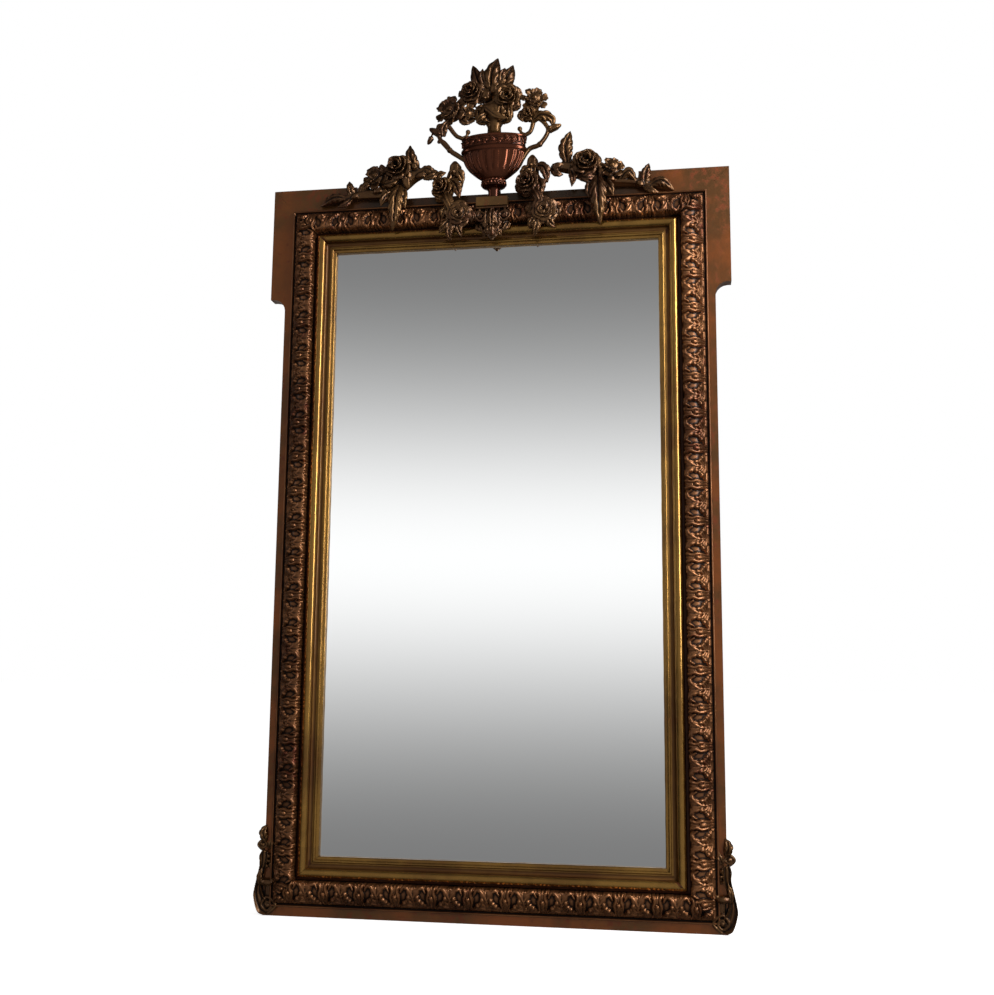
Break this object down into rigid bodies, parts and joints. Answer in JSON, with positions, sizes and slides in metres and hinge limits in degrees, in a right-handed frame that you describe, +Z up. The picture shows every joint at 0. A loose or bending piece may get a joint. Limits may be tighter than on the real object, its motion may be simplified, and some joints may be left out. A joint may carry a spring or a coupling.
{
  "type": "trumeau mirror",
  "caption": "Tall eared wall mirror in a gilded wooden frame with leaf and bead mouldings, a carved urn and garland crest, and scrolled lower corners.",
  "frame": {"origin": "on the wall plane, at the back of the top rail, on the mirror's centre line midway between the two hanger plates", "axes": "+X to the right seen from the room, +Y into the wall, +Z up"},
  "size_m": [1, 0.085, 1.8339],
  "materials": {
    "board_gilt": "antiqued gilding on a flat board, worn to red bole",
    "bead_gilt": "antiqued burnished gilding, dark in the hollows",
    "leaf_gilt": "antiqued gilding over red bole on carved leaves",
    "carved_gilt": "antiqued gilding on carving, dark in the hollows",
    "urn_gilt": "coppery antiqued gilding, burnished",
    "mirror_plate": "silvered plate glass",
    "pine": "bare pine, aged",
    "iron": "dark wrought iron"
  },
  "bodies": {
    "root": {"left_stile": "board_gilt", "right_stile": "board_gilt", "top_rail": "board_gilt", "bottom_rail": "board_gilt", "left_ear_upright": "board_gilt", "right_ear_upright": "board_gilt", "left_ear_head": "board_gilt", "right_ear_head": "board_gilt", "sight_moulding_left": "bead_gilt", "sight_moulding_right": "bead_gilt", "sight_moulding_top": "bead_gilt", "sight_moulding_bottom": "bead_gilt", "leaf_moulding_left": "leaf_gilt", "leaf_moulding_right": "leaf_gilt", "leaf_moulding_top": "leaf_gilt", "leaf_moulding_bottom": "leaf_gilt", "mirror_glass": "mirror_plate", "back_cross_rail": "pine", "left_upper_back_board": "pine", "left_lower_back_board": "pine", "right_upper_back_board": "pine", "right_lower_back_board": "pine", "left_glazing_block_upper": "pine", "left_glazing_block_lower": "pine", "right_glazing_block_upper": "pine", "right_glazing_block_lower": "pine", "left_hanger_plate": "iron", "right_hanger_plate": "iron", "left_hanger_screw_lower": "iron", "left_hanger_screw_upper": "iron", "right_hanger_screw_lower": "iron", "right_hanger_screw_upper": "iron", "crest_strap": "iron", "strap_screw_lower": "iron", "strap_screw_middle": "iron", "strap_screw_upper": "iron", "urn_foot": "urn_gilt", "urn_bowl": "urn_gilt", "plinth_block": "carved_gilt", "pendant_bracket": "carved_gilt", "urn_neck": "carved_gilt", "large_rose": "carved_gilt", "small_rose": "carved_gilt", "bouquet_leaves": "carved_gilt", "left_branch": "carved_gilt", "right_branch": "carved_gilt", "left_swag": "carved_gilt", "right_swag": "carved_gilt", "left_garland": "carved_gilt", "right_garland": "carved_gilt", "left_corner_scroll": "carved_gilt", "right_corner_scroll": "carved_gilt"}
  },
  "joints": []
}
